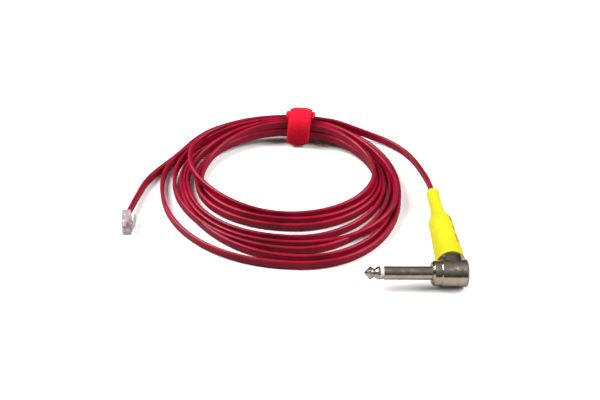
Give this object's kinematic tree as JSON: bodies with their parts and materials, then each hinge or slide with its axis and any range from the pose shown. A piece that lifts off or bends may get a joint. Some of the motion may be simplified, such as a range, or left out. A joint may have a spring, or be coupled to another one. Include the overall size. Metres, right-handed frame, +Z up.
{
  "type": "coiled instrument patch cord",
  "caption": "Flat two-conductor cord, loosely coiled and tied, with a right-angle phone plug on one end and a clear modular plug on the other.",
  "frame": {"origin": "on the plane it rests on, under the middle of the box round the two plugs and the tie", "axes": "+X to the right, from the modular plug to the phone plug; +Y towards the tie at the back; +Z up"},
  "size_m": [0.1664, 0.1438, 0.0189],
  "materials": {
    "red_jacket": "glossy red PVC cord jacket",
    "nickel": "polished nickel plate",
    "pale_plastic": "moulded insulator",
    "fibre": "vulcanised fibre",
    "tinned_brass": "tinned brass",
    "solder": "soft solder",
    "copper": "stranded copper",
    "yellow_sleeve": "satin yellow heat-shrink tube",
    "clear_plastic": "clear polycarbonate",
    "gold": "gold plate",
    "red_fabric": "woven hook-and-loop strap"
  },
  "bodies": {
    "cord_and_plugs": {"cord_coil": "red_jacket", "cord_tail_phone": "red_jacket", "cord_tail_modular": "red_jacket", "cord_end_in_phone_plug": "red_jacket", "cord_end_in_modular_plug": "red_jacket", "tip_contact": "nickel", "tip_ring_insulator": "pale_plastic", "rod_liner": "pale_plastic", "sleeve_contact": "nickel", "plug_body": "nickel", "ground_lug": "tinned_brass", "lug_washer": "fibre", "tip_lug": "tinned_brass", "rod_rivet": "nickel", "tip_core": "copper", "ground_core": "copper", "solder_joints": "solder", "cable_tube": "nickel", "heat_shrink_sleeve": "yellow_sleeve", "modular_housing": "clear_plastic", "modular_contacts": "gold", "modular_cores": "copper", "jacket_clamp": "clear_plastic", "tie_strap": "red_fabric"},
    "cap_travel": {"cap_insulator": "fibre"},
    "cap": {"end_cap": "nickel"},
    "latch": {"modular_latch": "clear_plastic"},
    "tie_flap": {"tie_tail": "red_fabric"}
  },
  "joints": [
    {"name": "cap_slide", "type": "slide", "parent": "cord_and_plugs", "child": "cap_travel", "axis": [0.9968, 0.061, -0.0522], "range_m": [0, 0.003]},
    {"name": "cap_turn", "type": "hinge", "parent": "cap_travel", "child": "cap", "pos_m": [0.0765, -0.0652, 0.00688], "axis": [0.9968, 0.061, -0.0522], "range_deg": [0, 1440]},
    {"name": "latch_press", "type": "hinge", "parent": "cord_and_plugs", "child": "latch", "pos_m": [-0.07768, -0.02489, 0.00381], "axis": [0, 0, 1], "range_deg": [0, 7.5], "stiffness_Nm_per_rad": 0.02},
    {"name": "tie_peel", "type": "hinge", "parent": "cord_and_plugs", "child": "tie_flap", "pos_m": [0.00443, 0.0562, 0.01646], "axis": [-0.9951, 0.0993, 0], "range_deg": [0, 75]}
  ],
  "couplings": [
    {"joint": "cap_turn", "follows": "cap_slide", "rad_per_m": 8377.6}
  ]
}
